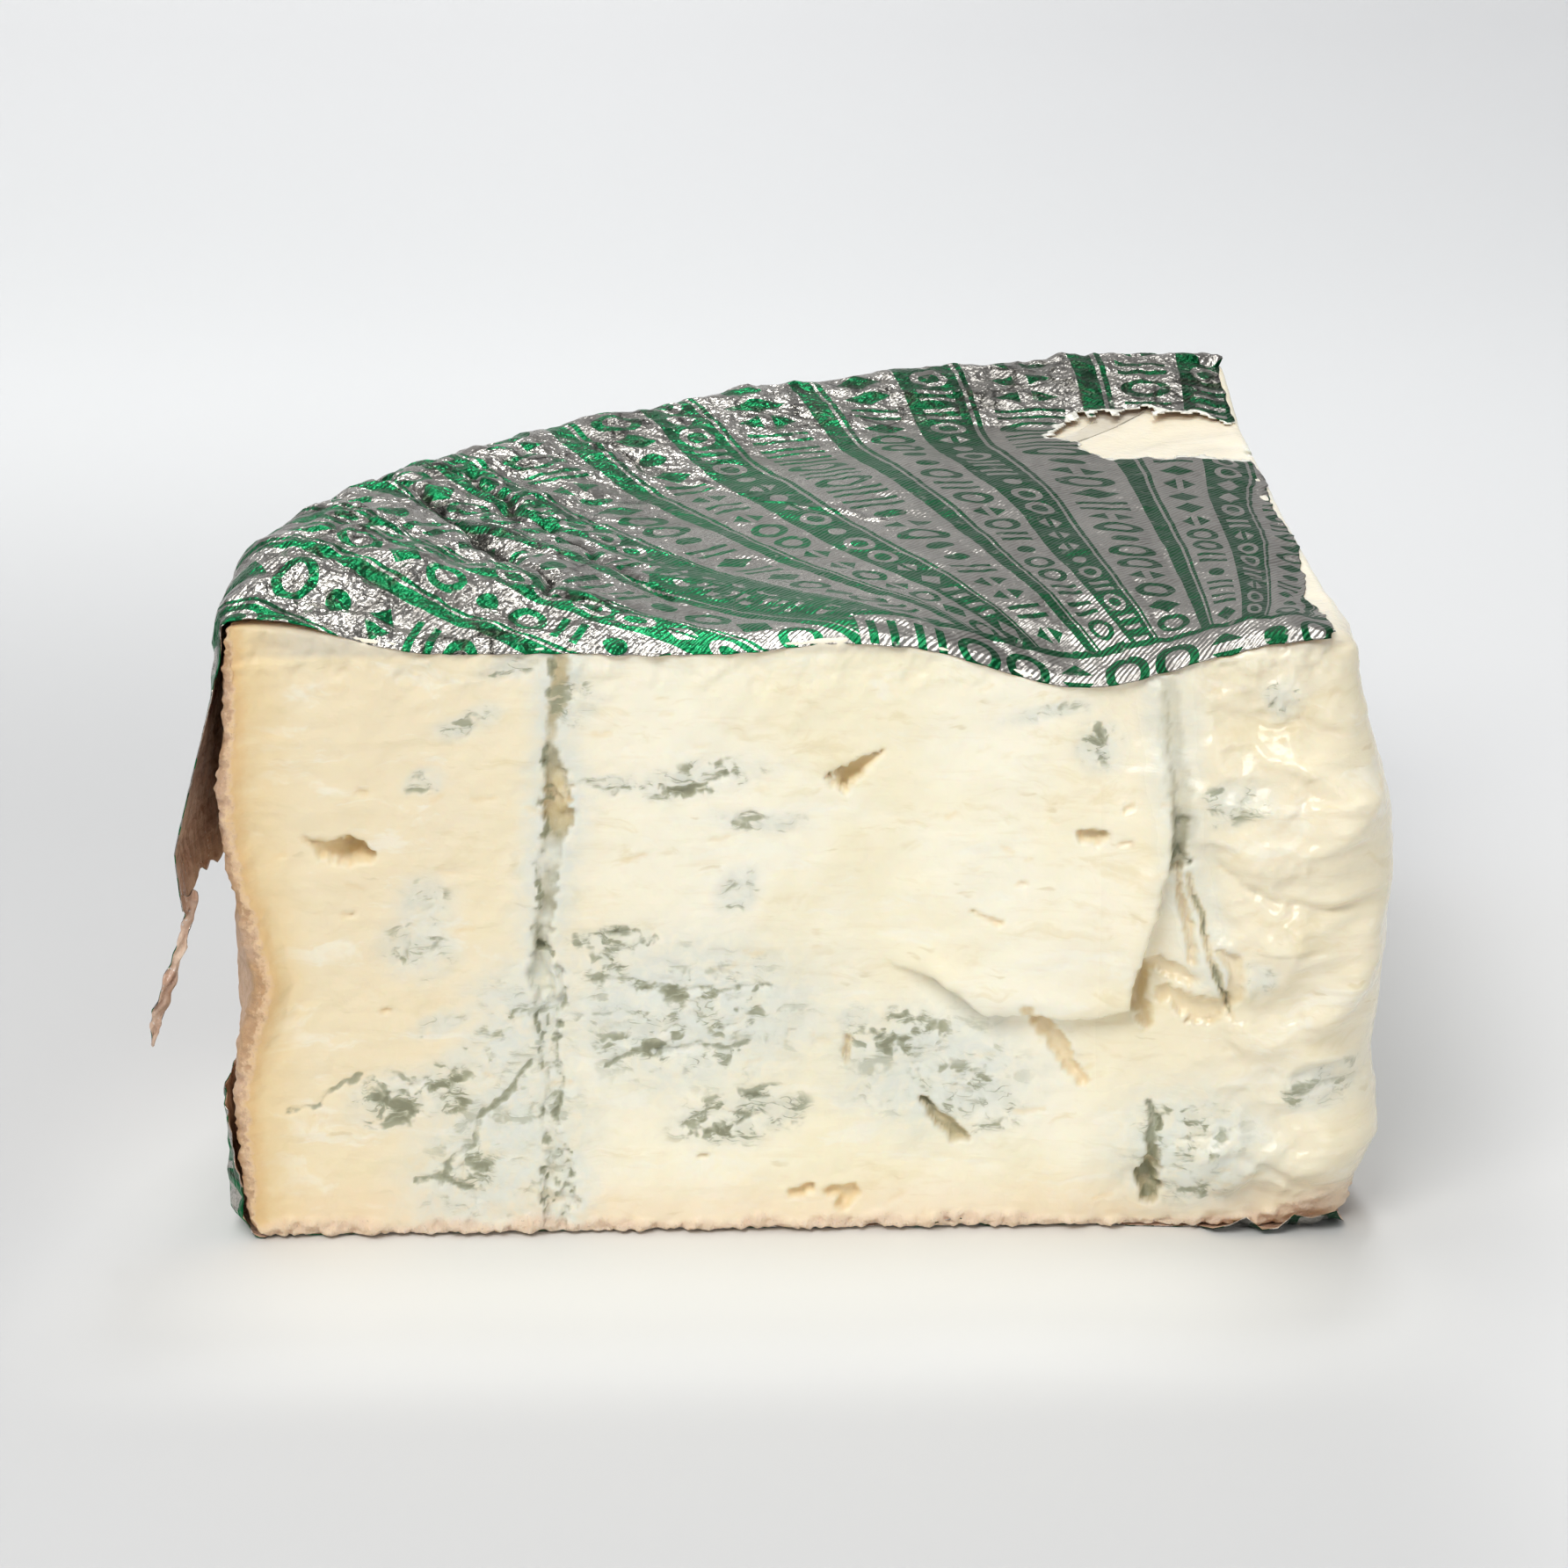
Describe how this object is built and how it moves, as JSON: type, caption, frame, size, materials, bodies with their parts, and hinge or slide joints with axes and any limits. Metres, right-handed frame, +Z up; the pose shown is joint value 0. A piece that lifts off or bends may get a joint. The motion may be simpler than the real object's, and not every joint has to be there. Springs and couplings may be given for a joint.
{
  "type": "cheese wedge",
  "caption": "Quarter-round wedge of soft blue-veined cheese with a thin rind, foil draped over its top and a second foil under its base.",
  "frame": {"origin": "middle of the bounding box's underside, on the surface that the wedge stands on", "axes": "+Z up along the cheese wheel's axis, the first cut face looks along -Y, the second cut face along +X, the curved rind towards -X and +Y"},
  "size_m": [0.1746, 0.1592, 0.0893],
  "materials": {
    "cheese_paste": "soft moist cream paste with grey-green mould veins and a thin tan rind",
    "printed_foil": null,
    "base_foil": "crumpled silver foil with a stained lining"
  },
  "bodies": {
    "root": {"cheese_wedge": "cheese_paste", "top_foil": "printed_foil", "base_foil": "base_foil"}
  },
  "joints": []
}
